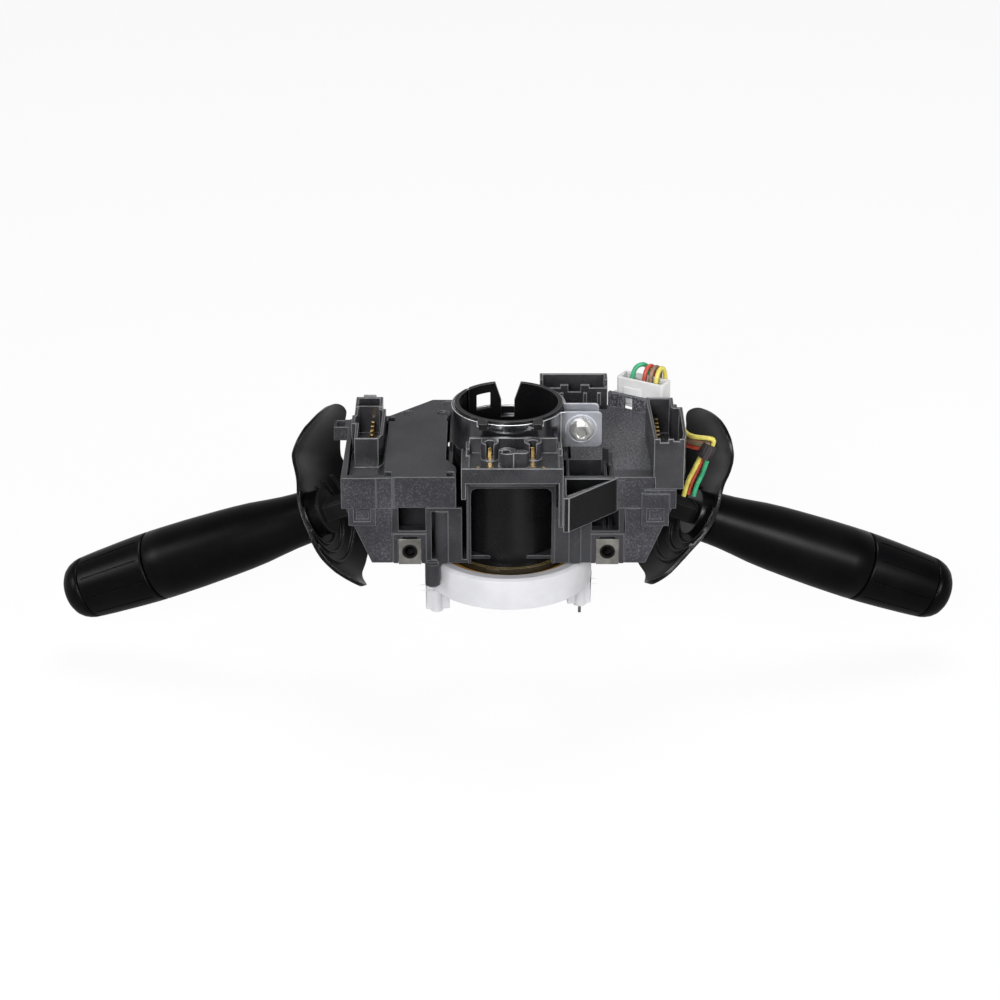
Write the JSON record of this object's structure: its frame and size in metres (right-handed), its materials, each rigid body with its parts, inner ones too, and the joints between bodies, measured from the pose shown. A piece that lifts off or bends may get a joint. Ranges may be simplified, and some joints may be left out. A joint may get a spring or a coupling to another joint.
{
  "type": "combination stalk switch",
  "caption": "Steering column switch: split clamp collar, two stalks with end knobs and spherical shields, spiral cable rotor, open connectors.",
  "frame": {"origin": "on the column axis at the lower stop of the collar bore, where the sleeve meets the rotor journal", "axes": "+Z along the column axis away from the steering wheel, -Y towards the screw face, +X to the right stalk"},
  "size_m": [0.433, 0.1182, 0.135],
  "materials": {
    "housing_black": "satin black moulded plastic",
    "sleeve_black": "glossy black bearing sleeve",
    "zinc_steel": "bright zinc, brushed",
    "bolt_steel": "bright zinc",
    "nut_steel": "grey zinc sheet",
    "cover_grey": "fine grained dark grey",
    "screw_steel": "dull zinc",
    "board_green": "solder resist",
    "connector_black": "semi-gloss",
    "contact_gold": "gold flash",
    "nylon_white": "natural nylon",
    "wire_green": "PVC insulation",
    "wire_red": "PVC insulation",
    "wire_brown": "PVC insulation",
    "wire_yellow": "PVC insulation",
    "tape_black": "woven tape",
    "drum_white": "translucent white",
    "ribbon_amber": "polyimide film",
    "acetal_natural": "natural acetal",
    "stalk_black": "satin black, fine texture"
  },
  "bodies": {
    "housing": {"main_housing": "housing_black", "column_sleeve": "sleeve_black", "clamp_band": "zinc_steel", "clamp_bolt": "bolt_steel", "clamp_nut": "bolt_steel", "shroud_nuts": "nut_steel", "left_case": "cover_grey", "right_case": "cover_grey", "left_cover": "cover_grey", "right_cover": "cover_grey", "case_screws": "screw_steel", "left_board": "board_green", "right_board": "board_green", "left_header": "connector_black", "left_header_pins": "contact_gold", "right_header": "connector_black", "right_header_pins": "contact_gold", "rear_header": "connector_black", "rear_header_pins": "contact_gold", "contact_socket": "connector_black", "socket_contacts": "contact_gold", "cable_chute": "connector_black", "wire_plug": "nylon_white", "left_detent_track": "acetal_natural", "right_detent_track": "acetal_natural", "harness_tape": "tape_black", "wire_green": "wire_green", "wire_red": "wire_red", "wire_brown": "wire_brown", "wire_yellow": "wire_yellow"},
    "rotor": {"spiral_rotor": "drum_white", "rotor_hub": "drum_white", "drive_pin": "nut_steel", "ribbon_cable": "ribbon_amber"},
    "left_yoke": {"left_carrier": "acetal_natural", "left_contact_leaf": "contact_gold", "left_cross_pin": "screw_steel"},
    "left_stalk": {"left_lever": "housing_black", "left_shield": "housing_black", "left_stalk_shell": "stalk_black", "left_detent_spring": "screw_steel"},
    "left_knob": {"left_knob": "stalk_black", "left_end_cap": "stalk_black", "left_knob_shaft": "screw_steel", "left_shaft_clip": "screw_steel"},
    "left_plunger": {"left_detent_plunger": "screw_steel"},
    "right_yoke": {"right_carrier": "acetal_natural", "right_contact_leaf": "contact_gold", "right_cross_pin": "screw_steel"},
    "right_stalk": {"right_lever": "housing_black", "right_shield": "housing_black", "right_stalk_shell": "stalk_black", "right_detent_spring": "screw_steel"},
    "right_knob": {"right_knob": "stalk_black", "right_end_cap": "stalk_black", "right_knob_shaft": "screw_steel", "right_shaft_clip": "screw_steel"},
    "right_plunger": {"right_detent_plunger": "screw_steel"}
  },
  "joints": [
    {"name": "rotor_turn", "type": "hinge", "parent": "housing", "child": "rotor", "pos_m": [0, 0, 0], "axis": [0, 0, 1], "range_deg": [-900, 900]},
    {"name": "left_swing", "type": "hinge", "parent": "housing", "child": "left_yoke", "pos_m": [-0.047, 0.02, 0.0205], "axis": [0, 0, 1], "range_deg": [-12, 12]},
    {"name": "left_lift", "type": "hinge", "parent": "left_yoke", "child": "left_stalk", "pos_m": [-0.047, 0.02, 0.0205], "axis": [0.2079, 0.9781, 0], "range_deg": [-6, 6]},
    {"name": "left_knob_turn", "type": "hinge", "parent": "left_stalk", "child": "left_knob", "pos_m": [-0.047, 0.02, 0.0205], "axis": [-0.897, 0.1907, -0.3987], "range_deg": [0, 80]},
    {"name": "left_detent", "type": "slide", "parent": "left_stalk", "child": "left_plunger", "axis": [-0.897, 0.1907, -0.3987], "range_m": [0, 0.0012], "stiffness_N_per_m": 2000, "springref_m": -0.002, "deforming": ["left_detent_spring"]},
    {"name": "right_swing", "type": "hinge", "parent": "housing", "child": "right_yoke", "pos_m": [0.047, 0.02, 0.0205], "axis": [0, 0, 1], "range_deg": [-12, 12]},
    {"name": "right_lift", "type": "hinge", "parent": "right_yoke", "child": "right_stalk", "pos_m": [0.047, 0.02, 0.0205], "axis": [0.2079, -0.9781, 0], "range_deg": [-6, 6]},
    {"name": "right_knob_turn", "type": "hinge", "parent": "right_stalk", "child": "right_knob", "pos_m": [0.047, 0.02, 0.0205], "axis": [0.897, 0.1907, -0.3987], "range_deg": [0, 80]},
    {"name": "right_detent", "type": "slide", "parent": "right_stalk", "child": "right_plunger", "axis": [0.897, 0.1907, -0.3987], "range_m": [0, 0.0012], "stiffness_N_per_m": 2000, "springref_m": -0.002, "deforming": ["right_detent_spring"]}
  ]
}
